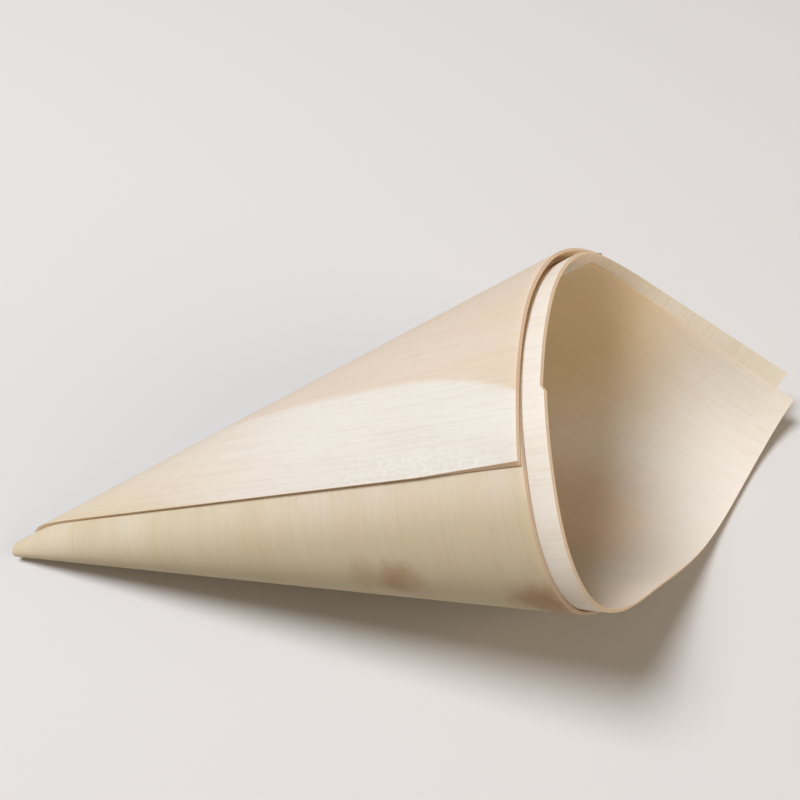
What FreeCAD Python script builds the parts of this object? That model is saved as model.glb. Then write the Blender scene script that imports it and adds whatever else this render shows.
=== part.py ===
import FreeCAD, Part
import math
import os

# A food cone rolled from one sheet of wood veneer, lying on its side. X runs from the tip to the mouth,
# Z is up from the surface it lies on, and the origin is on that surface under the apex. Sizes in mm.

# The flat sheet, in polar form about the roll's apex. Its angles run inwards from the outer flap's edge.
# Three straight edges at the mouth meet in two square corners. Two straight edges pass close by the apex
# and meet there in a small arc, which leaves the hole in the tip.
outer_side = 89.6        # apex to the mouth edge of the first turn, which is the outer one
middle_side = 90.0       # apex to the mouth edge between the two corners
inner_side = 93.0        # apex to the mouth edge of the last turn, which is the inner one
edge_offset = 3.6        # apex to the two edges that pass it
veneer = 0.45            # thickness of the sheet
corner_cut = 0.3         # length of the blunt ends where an edge meets the mouth at a small angle
outer_square = 0.0       # degrees from the flap's edge to the square way across each mouth edge
middle_square = 91.8
inner_square = 181.5
sheet_angle = 210.0      # degrees between the two edges that pass the apex

# The roll. The turns lie close at the tip and a little apart at the mouth.
tip_gap = 0.08           # between two turns at the apex
mouth_gap = 0.18         # between two turns at the mouth
end_spring = 0.7         # how far the free inner end has sprung inwards at the mouth
spring_angle = 12.0      # degrees of the sheet over which it springs

# The cross-section, as slopes of the wall away from the axis and the shares of its radius that swell it.
slope_wide = 0.274
slope_narrow = 0.234
wide_turned = 27.5       # degrees round the section to its wide way
three_cos = 0.022
three_sin = 0.069
four_cos = -0.025
four_sin = -0.006
seam_angle = 0.6         # degrees round the section to the outer flap's edge
lying_angle = 139.0      # degrees round the section to the line that it lies on
flat_depth = 0.039       # share of the radius by which it is pressed flat there
flat_width = 14.0        # degrees round the section over which the flat fades out

# Fineness of the curves.
section_steps = 1440
strip_angle = 2.0        # degrees of the sheet in one strip of its faces
ray_turn = 0.0005        # radians to either side, between the rays that give the wall's direction
line_turn = 0.01         # radians to either side, between the points that give the way across the lying line
end_rounds = 8           # rounds in which the place of a blunt end settles


def section_ray(angle):
    # Unit vector along the wall at this angle round the axis, which is the first component.
    bulge = 1 + three_cos * math.cos(3 * angle) + three_sin * math.sin(3 * angle)
    bulge += four_cos * math.cos(4 * angle) + four_sin * math.sin(4 * angle)
    from_flat = (math.degrees(angle) - lying_angle + 180) % 360 - 180
    bulge -= flat_depth * math.exp(-(from_flat / flat_width) ** 2)
    turned = math.radians(wide_turned)
    wide = slope_wide * math.cos(angle - turned) * bulge
    narrow = slope_narrow * math.sin(angle - turned) * bulge
    side = wide * math.cos(turned) - narrow * math.sin(turned)
    up = wide * math.sin(turned) + narrow * math.cos(turned)
    return FreeCAD.Vector(1, side, up).normalize()


def outward(angle):
    # Unit vector square to the wall, away from the axis.
    along = section_ray(angle + ray_turn) - section_ray(angle - ray_turn)
    return along.cross(section_ray(angle)).normalize()


# How much of the sheet's angle the section has used up at each step round it.
step = 2 * math.pi / section_steps
used = [0.0]
for number in range(section_steps):
    here = math.radians(seam_angle) - number * step
    used.append(used[-1] + section_ray(here).getAngle(section_ray(here - step)))
one_turn = used[-1]


def round_section(flat):
    # Angle round the axis at which the sheet's angle comes to lie. The sheet winds against that angle.
    rest = flat % one_turn
    low = 0
    high = section_steps
    while high - low > 1:
        middle = (low + high) // 2
        if used[middle] <= rest:
            low = middle
        else:
            high = middle
    part_step = (rest - used[low]) / (used[low + 1] - used[low])
    return math.radians(seam_angle) - (low + part_step) * step


def stand_off(flat, height):
    # Distance of the sheet's middle layer from the base cone. The base is where the second turn begins.
    gap = tip_gap + (mouth_gap - tip_gap) * height / middle_side
    distance = (1 - flat / one_turn) * (veneer + gap)
    sprung = (flat - math.radians(sheet_angle - spring_angle)) / math.radians(spring_angle)
    if sprung > 0:
        distance -= end_spring * sprung ** 2 * height / middle_side
    return distance


def rolled_point(flat, height, side):
    # A point of the rolled sheet about the upright roll's own axis. side is 1 outside, -1 inside.
    angle = round_section(flat)
    return section_ray(angle) * height + outward(angle) * (stand_off(flat, height) + side * veneer / 2)


# The roll lies on its outer face along one straight line, which comes to lie along X with the face's
# outward side down.
steps_to_line = round((seam_angle - lying_angle) % 360 / 360 * section_steps)
line_flat = used[steps_to_line]
line_start = rolled_point(line_flat, 0, 1)
line_end = rolled_point(line_flat, middle_side, 1)
ahead = (line_end - line_start).normalize()
across = rolled_point(line_flat + line_turn, middle_side, 1)
across -= rolled_point(line_flat - line_turn, middle_side, 1)
upward = across.cross(ahead).normalize()
if upward.dot(line_end - rolled_point(line_flat + one_turn / 2, middle_side, 1)) > 0:
    upward = upward * -1
sideways = upward.cross(ahead)
ground = line_start.dot(upward)


def sheet_point(flat, height, side):
    # The same point with the roll lying on its side.
    point = rolled_point(flat, height, side)
    return FreeCAD.Vector(point.dot(ahead), point.dot(sideways), point.dot(upward) - ground)


def near_edge(flat):
    # Distance from the apex to the edges that pass it.
    end = math.radians(sheet_angle)
    if flat < math.pi / 2:
        return edge_offset / math.sin(flat)
    if flat > end - math.pi / 2:
        return edge_offset / math.sin(end - flat)
    return edge_offset


def blunt_end(side, square):
    # Angle from the passing edge to the place where the sheet is corner_cut long up to the mouth edge.
    flat = edge_offset / side
    for again in range(end_rounds):
        flat = math.asin(edge_offset / (side / math.cos(flat - square) - corner_cut))
    return flat


def mouth_corner(side_a, square_a, side_b, square_b):
    # Angle at which two mouth edges meet.
    a = math.radians(square_a)
    b = math.radians(square_b)
    up = side_b * math.cos(a) - side_a * math.cos(b)
    along = side_a * math.sin(b) - side_b * math.sin(a)
    return math.atan2(up, along)


def curve(flats, heights, side):
    line = Part.BSplineCurve()
    line.interpolate([sheet_point(flat, height, side) for flat, height in zip(flats, heights)])
    return line.toShape()


first_corner = mouth_corner(outer_side, outer_square, middle_side, middle_square)
second_corner = mouth_corner(middle_side, middle_square, inner_side, inner_square)
first_end = blunt_end(outer_side, math.radians(outer_square))
last_end = math.radians(sheet_angle) - blunt_end(inner_side, math.radians(sheet_angle - inner_square))
spans = [
    (first_end, first_corner, outer_side, outer_square),
    (first_corner, second_corner, middle_side, middle_square),
    (second_corner, last_end, inner_side, inner_square),
]

# The sheet's two faces, its edges near the apex and its mouth edges, in strips between straight lines that
# run from tip to mouth.
faces = []
for first, last, mouth_side, square in spans:
    strips = round(math.degrees(last - first) / strip_angle)
    width = (last - first) / strips
    for strip in range(strips):
        flats = [first + width * (strip + share) for share in (0, 1 / 3, 2 / 3, 1)]
        near = [near_edge(flat) for flat in flats]
        far = [mouth_side / math.cos(flat - math.radians(square)) for flat in flats]
        edges = [curve(flats, near, 1), curve(flats, far, 1), curve(flats, far, -1), curve(flats, near, -1)]
        for one, other in zip(edges, edges[1:] + edges[:1]):
            faces.append(Part.makeRuledSurface(one, other, 1))

# The two blunt ends.
for flat, mouth_side, square in (
    (first_end, outer_side, outer_square),
    (last_end, inner_side, inner_square),
):
    far = mouth_side / math.cos(flat - math.radians(square))
    corners = [sheet_point(flat, height, side) for height, side in (
        (near_edge(flat), 1), (far, 1), (far, -1), (near_edge(flat), -1))]
    faces.append(Part.Face(Part.makePolygon(corners + corners[:1])))

shell = Part.makeShell(faces)
shell.sewShape()
cone = Part.makeSolid(shell)
if cone.Volume < 0:
    cone.reverse()

os.makedirs("parts", exist_ok=True)
cone.exportStep("parts/veneer_cone.step")
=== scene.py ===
import bpy
import math
from mathutils import Matrix, Vector


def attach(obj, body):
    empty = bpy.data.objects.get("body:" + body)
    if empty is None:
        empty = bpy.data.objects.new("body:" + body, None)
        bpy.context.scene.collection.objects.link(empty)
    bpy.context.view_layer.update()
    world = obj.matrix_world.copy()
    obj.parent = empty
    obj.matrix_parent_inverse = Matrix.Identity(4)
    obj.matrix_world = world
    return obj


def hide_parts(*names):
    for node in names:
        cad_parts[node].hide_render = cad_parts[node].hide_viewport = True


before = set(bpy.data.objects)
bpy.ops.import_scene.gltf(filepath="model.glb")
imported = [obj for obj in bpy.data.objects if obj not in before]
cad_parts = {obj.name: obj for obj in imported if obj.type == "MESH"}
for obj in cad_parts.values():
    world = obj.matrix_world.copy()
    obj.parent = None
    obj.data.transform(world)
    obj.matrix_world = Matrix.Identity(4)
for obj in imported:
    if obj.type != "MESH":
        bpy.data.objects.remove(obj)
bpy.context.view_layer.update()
print("frame loaded")


def shade(hexColour):
    # sRGB hex to the linear values that the shader works in
    parts = [int(hexColour[i:i + 2], 16) / 255 for i in (1, 3, 5)]
    return [c / 12.92 if c <= 0.04045 else ((c + 0.055) / 1.055) ** 2.4 for c in parts] + [1.0]


def addNode(tree, kind, settings=None, inputs=None):
    # one node with its settings; an input is a value or the socket that feeds it
    made = tree.nodes.new(kind)
    for name, value in (settings or {}).items():
        setattr(made, name, value)
    for name, value in (inputs or {}).items():
        if isinstance(value, bpy.types.NodeSocket):
            tree.links.new(value, made.inputs[name])
        else:
            made.inputs[name].default_value = value
    return made


# The cone: one veneer sheet, given flat in mm and degrees about the roll's apex and then rolled. It has the
# CAD part's own form, with finer steps and a map of the flat sheet for the grain.
cone = {
    "outerSide": 89.6, "middleSide": 90.0, "innerSide": 93.0,            # apex to the three mouth edges
    "outerSquare": 0.0, "middleSquare": 91.8, "innerSquare": 181.5,      # the square way across each of them
    "edgeOffset": 3.6, "sheetAngle": 210.0,        # two edges pass the apex, with this angle between them
    "cornerCut": 0.3,                              # length of their blunt ends at the mouth
    "veneer": 0.45, "tipGap": 0.08, "mouthGap": 0.18,
    "endSpring": 0.7, "springAngle": 12.0,         # the free inner end has sprung inwards
    "slopeWide": 0.274, "slopeNarrow": 0.234, "wideTurned": 27.5,        # the section, wider one way
    "threeCos": 0.022, "threeSin": 0.069, "fourCos": -0.025, "fourSin": -0.006,      # and slightly egg shaped
    "seamAngle": 0.6, "lyingAngle": 139.0,         # round the section to the seam and to the line it lies on
    "flatDepth": 0.039, "flatWidth": 14.0,         # pressed flat there: a share of the radius, and degrees
    "sectionSteps": 1440,
    "rayTurn": 0.002, "lineTurn": 0.01,            # radians to either side where a direction is measured
    "endRounds": 8,                                # rounds in which the place of a blunt end settles
    "linesInSpan": (110, 190, 130),      # straight lines from tip to mouth in each span between the corners
    "rows": 44, "rowPower": 1.3,         # steps along each line, closer together at the tip
    "rimWave": 0.11,                     # mm that the sheet waves inwards at the mouth, as dried veneer does
    "waves": ((7.0, 0.4, 0.0), (17.0, 0.6, 1.0)),  # flat degrees from wave to wave, share, shift in radians
    "waveRise": 3,                       # power with which the wave grows towards the mouth
    "waveFree": 20.0,                    # degrees from the line it lies on over which the wave sets in
    "nickAt": 187.2, "nickWide": 0.25,   # flat degrees to the torn step in the inner rim, and its width in mm
    "nickLong": 7.0, "nickDeep": 0.5,    # mm over which the torn edge comes back, and its depth
    "pressed": 7.0,                      # mm from the flap's edge over which the glue holds it down
    "pressedAngle": 0.5,                 # and the flat angle in radians at which that fades out by the tip
    "slantFlap": 0.5, "slantMouth": 0.2,           # mm that the cut leans at the flap's edge and the mouth
}


def sectionRay(angle):
    # along the wall at this angle round the axis, which is the first component
    bulge = 1 + cone["threeCos"] * math.cos(3 * angle) + cone["threeSin"] * math.sin(3 * angle)
    bulge += cone["fourCos"] * math.cos(4 * angle) + cone["fourSin"] * math.sin(4 * angle)
    fromFlat = (math.degrees(angle) - cone["lyingAngle"] + 180) % 360 - 180
    bulge -= cone["flatDepth"] * math.exp(-(fromFlat / cone["flatWidth"]) ** 2)
    turned = math.radians(cone["wideTurned"])
    wide = cone["slopeWide"] * math.cos(angle - turned) * bulge
    narrow = cone["slopeNarrow"] * math.sin(angle - turned) * bulge
    return Vector((1, wide * math.cos(turned) - narrow * math.sin(turned),
                   wide * math.sin(turned) + narrow * math.cos(turned))).normalized()


def outward(angle):
    # square to the wall, away from the axis
    along = sectionRay(angle + cone["rayTurn"]) - sectionRay(angle - cone["rayTurn"])
    return along.cross(sectionRay(angle)).normalized()


# how much of the sheet's angle the section has used up at each step round it
step = 2 * math.pi / cone["sectionSteps"]
used = [0.0]
for number in range(cone["sectionSteps"]):
    here = math.radians(cone["seamAngle"]) - number * step
    used.append(used[-1] + (sectionRay(here) - sectionRay(here - step)).length)
oneTurn = used[-1]


def roundSection(flat):
    # angle round the axis where the sheet's angle comes to lie; the sheet winds against that angle
    rest = flat % oneTurn
    low, high = 0, cone["sectionSteps"]
    while high - low > 1:
        middle = (low + high) // 2
        low, high = (middle, high) if used[middle] <= rest else (low, middle)
    share = (rest - used[low]) / (used[low + 1] - used[low])
    return math.radians(cone["seamAngle"]) - (low + share) * step


def standOff(flat, height):
    # the sheet's middle layer from the base cone, which is where the second turn begins
    gap = cone["tipGap"] + (cone["mouthGap"] - cone["tipGap"]) * height / cone["middleSide"]
    distance = (1 - flat / oneTurn) * (cone["veneer"] + gap)
    if flat < cone["pressedAngle"]:
        held = max(0.0, 1 - height * math.sin(flat) / cone["pressed"]) ** 2
        distance -= gap * held * (1 - flat / cone["pressedAngle"])
    sprung = (math.degrees(flat) - cone["sheetAngle"] + cone["springAngle"]) / cone["springAngle"]
    if sprung > 0:
        distance -= cone["endSpring"] * sprung ** 2 * height / cone["middleSide"]
    return distance


def rolledPoint(flat, height, side):
    # side is 1 on the sheet's outer face and -1 on its inner one
    angle = roundSection(flat)
    return sectionRay(angle) * height + outward(angle) * (standOff(flat, height) + side * cone["veneer"] / 2)


def layDown():
    # the straight line that the roll lies on comes to lie along X, with the table under it
    steps = round((cone["seamAngle"] - cone["lyingAngle"]) % 360 / 360 * cone["sectionSteps"])
    flat, height, turn = used[steps], cone["middleSide"], cone["lineTurn"]
    start, end = rolledPoint(flat, 0, 1), rolledPoint(flat, height, 1)
    ahead = (end - start).normalized()
    across = rolledPoint(flat + turn, height, 1) - rolledPoint(flat - turn, height, 1)
    upward = across.cross(ahead).normalized()
    if upward.dot(end - rolledPoint(flat + oneTurn / 2, height, 1)) > 0:
        upward = -upward
    return ahead, upward.cross(ahead), upward, start.dot(upward), flat


ahead, sideways, upward, ground, lyingFlat = layDown()


def sheetPoint(flat, height, side):
    # the rolled point in metres in the frame's place, with the sheet's wave towards the mouth
    wave = 0.0
    for length, share, shift in cone["waves"]:
        wave += math.sin(2 * math.pi * math.degrees(flat) / length + shift) * share
    rise = min((height / cone["middleSide"]) ** cone["waveRise"], 1.0)
    loose = min(1.0, abs(math.degrees(flat - lyingFlat)) / cone["waveFree"])      # none where it lies
    inwards = cone["rimWave"] * (1 - wave) / 2 * rise * loose
    point = rolledPoint(flat, height, side) - outward(roundSection(flat)) * inwards
    return Vector((point.dot(ahead), point.dot(sideways), point.dot(upward) - ground)) / 1000


def nearEdge(flat):
    # apex to the edges that pass it, which meet in a small arc
    end = math.radians(cone["sheetAngle"])
    if flat < math.pi / 2:
        return cone["edgeOffset"] / math.sin(flat)
    if flat > end - math.pi / 2:
        return cone["edgeOffset"] / math.sin(end - flat)
    return cone["edgeOffset"]


def bluntEnd(side, square):
    # angle from the passing edge to the place where the sheet is cornerCut long up to the mouth edge
    flat = cone["edgeOffset"] / side
    for again in range(cone["endRounds"]):
        flat = math.asin(cone["edgeOffset"] / (side / math.cos(flat - square) - cone["cornerCut"]))
    return flat


def mouthCorner(one, other):
    # angle at which two mouth edges meet
    a, b = math.radians(cone[one + "Square"]), math.radians(cone[other + "Square"])
    sideA, sideB = cone[one + "Side"], cone[other + "Side"]
    return math.atan2(sideB * math.cos(a) - sideA * math.cos(b), sideA * math.sin(b) - sideB * math.sin(a))


def farEdge(flat, edge):
    # apex to a mouth edge, less what is torn off past the nick
    far = cone[edge + "Side"] / math.cos(flat - math.radians(cone[edge + "Square"]))
    past = math.radians(math.degrees(flat) - cone["nickAt"]) * far
    if past > 0:
        far -= cone["nickDeep"] * min(1.0, past / cone["nickWide"]) * math.exp(-past / cone["nickLong"])
    return far


def sheetLines():
    # the straight lines from tip to mouth, each with its flat angle and its two ends from the apex
    firstEnd = bluntEnd(cone["outerSide"], math.radians(cone["outerSquare"]))
    lastEnd = math.radians(cone["sheetAngle"])
    lastEnd -= bluntEnd(cone["innerSide"], math.radians(cone["sheetAngle"] - cone["innerSquare"]))
    ends = (firstEnd, mouthCorner("outer", "middle"), mouthCorner("middle", "inner"), lastEnd)
    lines = []
    for first, last, edge, count in zip(ends, ends[1:], ("outer", "middle", "inner"), cone["linesInSpan"]):
        for number in range(count):
            flat = first + (last - first) * number / count
            lines.append((flat, nearEdge(flat), farEdge(flat, edge)))
    return lines + [(lastEnd, nearEdge(lastEnd), farEdge(lastEnd, "inner"))]


def sheetFaces(lineCount, inside):
    # both faces of the sheet and all its cut edges; the inner face's points start at the number inside
    rows = cone["rows"]
    faces = []
    for line in range(lineCount - 1):
        a, b = line * (rows + 1), (line + 1) * (rows + 1)
        for row in range(rows):
            faces.append((a + row, a + row + 1, b + row + 1, b + row))
            faces.append((inside + a + row, inside + b + row, inside + b + row + 1, inside + a + row + 1))
        faces.append((a, b, inside + b, inside + a))
        faces.append((a + rows, inside + a + rows, inside + b + rows, b + rows))
    last = (lineCount - 1) * (rows + 1)
    for row in range(rows):
        faces.append((row, inside + row, inside + row + 1, row + 1))
        faces.append((last + row, last + row + 1, inside + last + row + 1, inside + last + row))
    return faces


def markEdges(mesh, inside):
    # the cuts stay crisp: every line round them and through the sheet is sharp
    beside = {}
    for polygon in mesh.polygons:
        for key in polygon.edge_keys:
            beside.setdefault(key, set()).add(polygon.use_smooth)
    for edge in mesh.edges:
        one, other = edge.vertices
        throughSheet = (one < inside) != (other < inside)
        if throughSheet or len(beside[tuple(sorted((one, other)))]) == 2:
            edge.use_edge_sharp = True


def makeCone():
    rows = cone["rows"]
    lines = sheetLines()
    points, flatPlaces = [], []
    for side in (1, -1):
        for number, (flat, near, far) in enumerate(lines):
            for row in range(rows + 1):
                height = near + (far - near) * (row / rows) ** cone["rowPower"]
                lean = cone["slantFlap"] / height if side == 1 and number == 0 else 0.0
                short = cone["slantMouth"] if side == 1 and row == rows else 0.0
                points.append(sheetPoint(flat + lean, height - short, side))
                flatPlaces.append((height * math.cos(flat), height * math.sin(flat)))
    inside = len(lines) * (rows + 1)
    mesh = bpy.data.meshes.new("veneerSheet")
    mesh.from_pydata(points, [], sheetFaces(len(lines), inside))
    sheetMap = mesh.uv_layers.new(name="flatSheet")         # mm on the flat sheet from the apex
    cutEdge = mesh.attributes.new("cutEdge", "FLOAT", "FACE")
    for polygon in mesh.polygons:
        isCut = len({vertex < inside for vertex in polygon.vertices}) == 2
        cutEdge.data[polygon.index].value = 1.0 if isCut else 0.0
        polygon.use_smooth = not isCut
        for loop in polygon.loop_indices:
            sheetMap.data[loop].uv = flatPlaces[mesh.loops[loop].vertex_index]
    mesh.update()
    markEdges(mesh, inside)
    piece = bpy.data.objects.new("veneer_sheet", mesh)
    bpy.context.collection.objects.link(piece)
    return piece


# Poplar veneer: sliced thin, dried and lightly pressed. The eye sees pale cream wood with very fine straight
# fibres, a soft satin sheen, and warm light coming through where one layer stands alone.
veneerLook = {
    "pale": "#E8DEC6", "warm": "#E1D3B0",          # the two tones of the figure
    "pink": "#EAD9C8", "white": "#F1EFE7", "glowGreen": "#EFEEE3", "shadeOlive": "#D0C29B",       # zones: pink is a tone of the wood, olive is painted shade, white and green also carry painted light
    "fibre": "#BFA177", "edge": "#FAF4E4",         # fibres and pores, and the fresh cut, its pale cream made brighter as a painted highlight
    "stain": "#A8773A", "peach": "#E4C09A", "glowTan": "#E4C88E",          # marks; the tan one is painted light
    "frost": "#FBFAF5",                            # dried glue
    "through": "#EDBE7C",                          # light that has come through the wood
    # patterns as mm along and across the grain, detail, roughness and the shift that keeps them apart
    "figure": ((80.0, 8.0), 3.0, 0.5, (0.0, 0.0)),
    "clouds": ((42.0, 30.0), 2.0, 0.5, (11.3, 7.91)),
    "fibres": ((14.0, 0.4), 3.0, 0.6, (3.1, 2.17)),          # drawn coarser than the real ones, to show
    "pores": ((2.2, 0.16), 1.0, 0.5, (7.7, 5.39)),
    "grains": ((0.7, 0.4), 3.0, 0.75, (21.0, 14.7)),         # of the dried glue, in patches of the next size
    "patches": ((9.0, 3.0), 2.0, 0.5, (33.0, 23.1)),
    "ragged": ((4.0, 3.0), 3.0, 0.6, (5.2, 3.64)),           # the rims of the stains and marks
    # where each pattern starts and ends, and its share of the colour
    "figureSpan": (0.3, 0.7),
    "cloudSpan": (0.45, 0.72), "cloudShare": 0.35,
    "fibreSpan": (0.42, 0.8), "fibreShare": 0.16,
    "poreSpan": (0.6, 0.8), "poreShare": 0.14,
    "grainSpan": (0.46, 0.62), "frostShare": 0.6,
    # zones on the flat sheet in mm, each from where it starts to where it is full; x runs from the apex along
    # the flap's edge, and y square to it
    # where the painted shade below the seam lies, and its share
    "belowSeam": (-8.0, 12.0), "belowX": (-2.0, 4.0), "belowShare": 0.7,     # the first pair is of y less x
    "flapX": (24.0, 60.0), "flapY": (46.0, 34.0),
    "flapLine": (17.6, 18.6),                      # the soft line between its whitish and its pinkish wood
    "flapWaver": 2.0, "flapBend": 5.0,             # mm by which the line wavers, and bends at bendFrom
    "bendFrom": 90.0, "bendPower": 10.0,
    "flapPink": 0.5, "flapWhite": 0.75,
    # zones of painted light: the outer turn's long corner and the mouth rim
    "cornerX": (66.0, 78.0), "cornerY": (40.0, 52.0), "cornerShare": 0.75,
    "rimOut": (84.0, 91.0), "rimX": (-45.0, -80.0), "rimShare": 0.75,        # the first pair is from the apex
    "frostY": (13.0, 8.0), "frostX": (56.0, 72.0), "frostEnd": (89.0, 83.0), "frostWaver": 8.0,
    # marks as colour, place on the flat sheet in mm, radius and strength: four brown stains low on the near
    # wall, then inside a whitish patch by the rim, a peach coloured one low down and a tan one high up, which
    # is painted light: the warm glow of light through the wood where the inside lies in shade
    "marks": (("stain", 9.8, 70.2, 4.8, 0.6), ("stain", 8.6, 66.0, 3.2, 0.25),
              ("stain", 15.0, 88.2, 5.8, 0.75), ("stain", 20.0, 89.5, 4.8, 0.6),
              ("white", -94.0, 58.0, 27.0, 0.5),
              ("peach", -76.0, 52.0, 17.0, 0.5), ("glowTan", -60.0, 80.0, 24.0, 0.6)),
    "markCore": 0.1, "markShake": 5.0,             # share of the radius at full strength, mm of ragged rim
    "cutPaleAndLitShare": 0.85,
    "fibreHeight": 0.8, "poreHeight": 0.4, "bumpStrength": 0.3, "bumpDepth": 0.00005,        # depth in metres
    "roughness": (0.42, 0.53), "frostSmooth": 0.15,          # over the figure, and what the glue takes off
    "ior": 1.5, "shine": 0.45,
    "seeThrough": 0.34, "cutSeeThrough": 0.35, "throughShare": 0.5,     # shares of light that pass through
}


def makeVeneer():
    material = bpy.data.materials.new("poplarVeneerSliced")
    material.use_nodes = True
    tree = material.node_tree
    tree.nodes.clear()
    look = veneerLook
    flatSheet = addNode(tree, "ShaderNodeUVMap", {"uv_map": "flatSheet"}).outputs["UV"]
    place = addNode(tree, "ShaderNodeSeparateXYZ", inputs={"Vector": flatSheet})
    x, y = place.outputs["X"], place.outputs["Y"]

    def noise(pattern, output="Fac"):
        size, detail, roughness, shift = look[pattern]
        mapped = addNode(tree, "ShaderNodeMapping", inputs={
            "Vector": flatSheet, "Scale": (1 / size[0], 1 / size[1], 1), "Location": (*shift, 0)})
        return addNode(tree, "ShaderNodeTexNoise", {"noise_dimensions": "2D"}, {
            "Vector": mapped.outputs["Vector"], "Scale": 1.0, "Detail": detail,
            "Roughness": roughness}).outputs[output]

    def ramp(value, span, to=(0.0, 1.0)):
        return addNode(tree, "ShaderNodeMapRange", {"interpolation_type": "SMOOTHSTEP", "clamp": True},
                       {"Value": value, "From Min": span[0], "From Max": span[1],
                        "To Min": to[0], "To Max": to[1]}).outputs["Result"]

    def maths(operation, a, b):
        return addNode(tree, "ShaderNodeMath", {"operation": operation}, {0: a, 1: b}).outputs[0]

    def both(a, b):
        return maths("MULTIPLY", a, b)

    def mix(factor, a, b):
        return addNode(tree, "ShaderNodeMix", {"data_type": "RGBA"}, {0: factor, 6: a, 7: b}).outputs[2]

    figure, clouds, fibres, pores = noise("figure"), noise("clouds"), noise("fibres"), noise("pores")
    colour = mix(ramp(figure, look["figureSpan"]), shade(look["pale"]), shade(look["warm"]))
    colour = mix(ramp(clouds, look["cloudSpan"], (0.0, look["cloudShare"])), colour, shade(look["pink"]))

    # painted shade: the part of the first turn below the seam, which faces down away from the lamp, is
    # painted darker and more olive
    shadedBelow = both(ramp(maths("SUBTRACT", y, x), look["belowSeam"]), ramp(x, look["belowX"]))
    colour = mix(both(shadedBelow, look["belowShare"]), colour, shade(look["shadeOlive"]))

    # the flap is whitish by the seam, up to a soft line that bends down near the mouth, and pinkish above it
    bend = maths("POWER", maths("DIVIDE", x, look["bendFrom"]), look["bendPower"])
    above = maths("ADD", maths("ADD", y, both(bend, look["flapBend"])), both(clouds, look["flapWaver"]))
    onFlap = both(ramp(x, look["flapX"]), ramp(y, look["flapY"]))
    pinkish = both(ramp(above, look["flapLine"]), onFlap)
    whitish = both(ramp(above, look["flapLine"][::-1]), onFlap)
    colour = mix(both(pinkish, look["flapPink"]), colour, shade(look["pink"]))
    colour = mix(both(whitish, look["flapWhite"]), colour, shade(look["white"]))

    # painted light: the outer turn's long corner is painted a pale greenish white, and the innermost turn is
    # painted whitest at its mouth edge, both standing in for the light on and through their lone layers
    glowCorner = both(ramp(x, look["cornerX"]), ramp(y, look["cornerY"]))
    colour = mix(both(glowCorner, look["cornerShare"]), colour, shade(look["glowGreen"]))
    out = addNode(tree, "ShaderNodeVectorMath", {"operation": "LENGTH"}, {0: flatSheet}).outputs["Value"]
    rim = both(ramp(out, look["rimOut"]), ramp(x, look["rimX"]))
    colour = mix(both(rim, look["rimShare"]), colour, shade(look["white"]))

    # fibres and pores run over all of it
    colour = mix(ramp(fibres, look["fibreSpan"], (0.0, look["fibreShare"])), colour, shade(look["fibre"]))
    colour = mix(ramp(pores, look["poreSpan"], (0.0, look["poreShare"])), colour, shade(look["fibre"]))

    # a film of dried glue along the flap's edge, broken into fine bright grains
    fromSeam = maths("ADD", y, both(noise("patches"), look["frostWaver"]))
    alongSeam = both(ramp(x, look["frostX"]), ramp(x, look["frostEnd"]))
    film = both(ramp(fromSeam, look["frostY"]), alongSeam)
    frost = both(film, ramp(noise("grains"), look["grainSpan"]))
    colour = mix(both(frost, look["frostShare"]), colour, shade(look["frost"]))

    # stains and patches with soft, ragged edges
    shake = look["markShake"]
    shaken = addNode(tree, "ShaderNodeVectorMath", {"operation": "MULTIPLY_ADD"}, {
        0: noise("ragged", "Color"), 1: (shake, shake, 0.0), 2: flatSheet}).outputs[0]
    for tone, markX, markY, radius, strength in look["marks"]:
        away = addNode(tree, "ShaderNodeVectorMath", {"operation": "DISTANCE"}, {
            0: shaken, 1: (markX + shake / 2, markY + shake / 2, 0.0)}).outputs["Value"]
        spread = ramp(away, (radius, radius * look["markCore"]), (0.0, strength))
        colour = mix(spread, colour, shade(look[tone]))

    # the cut faces: their fresh pale cream, lifted to near white as a painted highlight where they catch the
    # light
    cuts = addNode(tree, "ShaderNodeAttribute", {"attribute_name": "cutEdge"}).outputs["Fac"]
    colour = mix(both(cuts, look["cutPaleAndLitShare"]), colour, shade(look["edge"]))

    relief = maths("ADD", both(fibres, look["fibreHeight"]), both(pores, look["poreHeight"]))
    bump = addNode(tree, "ShaderNodeBump", inputs={
        "Height": relief, "Strength": look["bumpStrength"], "Distance": look["bumpDepth"]}).outputs["Normal"]
    rough = maths("SUBTRACT", ramp(figure, look["figureSpan"], look["roughness"]),
                  both(frost, look["frostSmooth"]))
    wood = addNode(tree, "ShaderNodeBsdfPrincipled", inputs={
        "Base Color": colour, "Roughness": rough, "Normal": bump, "IOR": look["ior"],
        "Specular IOR Level": look["shine"]}).outputs["BSDF"]
    warmed = mix(look["throughShare"], colour, shade(look["through"]))
    through = addNode(tree, "ShaderNodeBsdfTranslucent", inputs={"Color": warmed}).outputs[0]
    share = maths("ADD", both(cuts, look["cutSeeThrough"]), look["seeThrough"])
    lit = addNode(tree, "ShaderNodeMixShader", inputs={0: share, 1: wood, 2: through}).outputs[0]
    addNode(tree, "ShaderNodeOutputMaterial", inputs={"Surface": lit})
    return material


sheet = makeCone()
sheet.data.materials.append(makeVeneer())
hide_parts("veneer_cone")
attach(sheet, "root")
print("cone made")


# Studio: a plain pale floor, one large soft lamp high on the left, as the photo's window light falls, and a
# weak warm fill that looks into the mouth.
studio = {
    "floorColour": "#C4C0BB", "floorSize": 8.0, "floorRoughness": 0.9, "floorShine": 0.2,
    "keyPlace": (-0.225, 0.078, 0.757), "keySize": 0.36, "keyPower": 8.6, "keyColour": "#F0F5FF",
    "fillPlace": (0.76, -0.30, 0.36), "fillSize": 0.5, "fillPower": 3.4, "fillColour": "#FFF0DC",
    "aim": (0.065, 0.0, 0.015),
    "skyStrength": 0.21, "skyColour": "#F7ECDC",
    "backdrop": "#E6E1DB",               # what the camera sees past the floor
}


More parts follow.
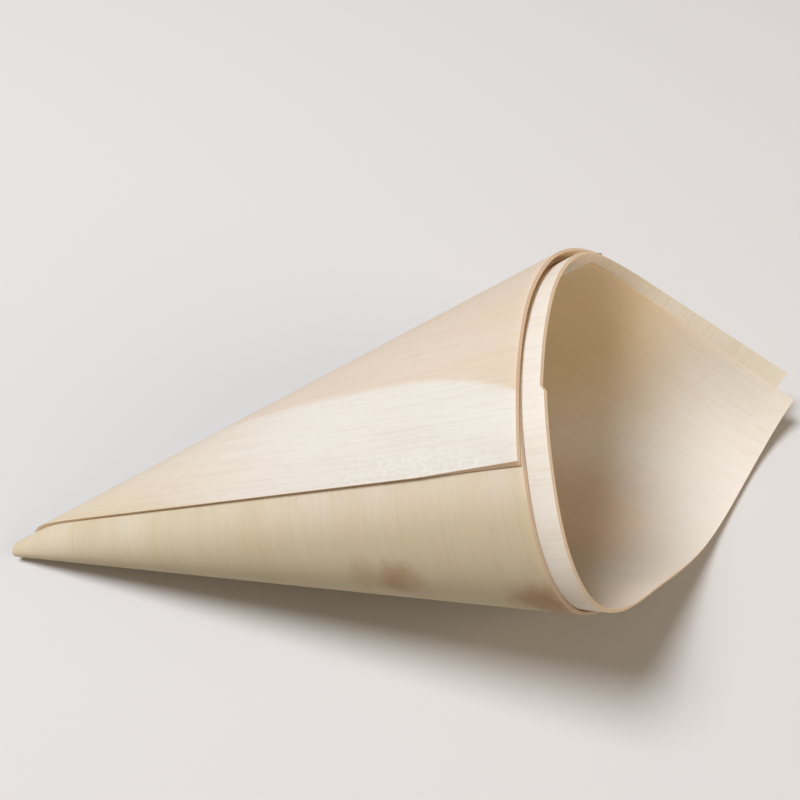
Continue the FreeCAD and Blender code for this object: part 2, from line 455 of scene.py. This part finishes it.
def makeLamp(name, part):
    lamp = bpy.data.lights.new(name, "AREA")
    lamp.shape = "DISK"
    lamp.size = studio[part + "Size"]
    lamp.energy = studio[part + "Power"]
    lamp.color = shade(studio[part + "Colour"])[:3]
    placed = bpy.data.objects.new(name, lamp)
    placed.location = studio[part + "Place"]
    towards = Vector(studio["aim"]) - Vector(studio[part + "Place"])
    placed.rotation_euler = towards.to_track_quat("-Z", "Y").to_euler()
    bpy.context.collection.objects.link(placed)


def makeFloor():
    half = studio["floorSize"] / 2
    corners = [(-half, -half, 0), (half, -half, 0), (half, half, 0), (-half, half, 0)]
    mesh = bpy.data.meshes.new("floor")
    mesh.from_pydata(corners, [], [(0, 1, 2, 3)])
    floor = bpy.data.objects.new("floor", mesh)
    bpy.context.collection.objects.link(floor)
    paper = bpy.data.materials.new("mattPaperFloor")      # plain sheet of pale paper, no sheen
    paper.use_nodes = True
    surface = paper.node_tree.nodes["Principled BSDF"]
    surface.inputs["Base Color"].default_value = shade(studio["floorColour"])
    surface.inputs["Roughness"].default_value = studio["floorRoughness"]
    surface.inputs["Specular IOR Level"].default_value = studio["floorShine"]
    mesh.materials.append(paper)


def makeSky():
    world = bpy.data.worlds.new("softSky")
    bpy.context.scene.world = world
    world.use_nodes = True
    tree = world.node_tree
    tree.nodes.clear()
    sky = addNode(tree, "ShaderNodeBackground", inputs={
        "Color": shade(studio["skyColour"]), "Strength": studio["skyStrength"]}).outputs[0]
    seen = addNode(tree, "ShaderNodeBackground", inputs={"Color": shade(studio["backdrop"])}).outputs[0]
    ray = addNode(tree, "ShaderNodeLightPath").outputs["Is Camera Ray"]
    mixed = addNode(tree, "ShaderNodeMixShader", inputs={0: ray, 1: sky, 2: seen}).outputs[0]
    addNode(tree, "ShaderNodeOutputWorld", inputs={"Surface": mixed})


makeFloor()
makeLamp("windowLamp", "key")
makeLamp("fillLamp", "fill")
makeSky()
print("studio made")

# Camera: as the photo was taken, close above the near side. Place in metres, lens and sensor in mm.
view = {
    "place": (0.069046, -0.080781, 0.126435),
    "right": (0.99619, -0.04892, -0.07218),
    "ahead": (-0.02413, 0.64073, -0.76738),
    "lens": 42.675, "sensor": 36.0, "clipStart": 0.005,
}


def makeCamera():
    data = bpy.data.cameras.new("camera")
    data.lens = view["lens"]
    data.sensor_width = view["sensor"]
    data.clip_start = view["clipStart"]
    camera = bpy.data.objects.new("camera", data)
    right, back = Vector(view["right"]).normalized(), -Vector(view["ahead"]).normalized()
    up = back.cross(right).normalized()
    turn = Matrix((right, up, back)).transposed()
    camera.matrix_world = Matrix.Translation(view["place"]) @ turn.to_4x4()
    bpy.context.collection.objects.link(camera)
    bpy.context.scene.camera = camera


makeCamera()
bpy.context.scene.view_settings.view_transform = "Standard"
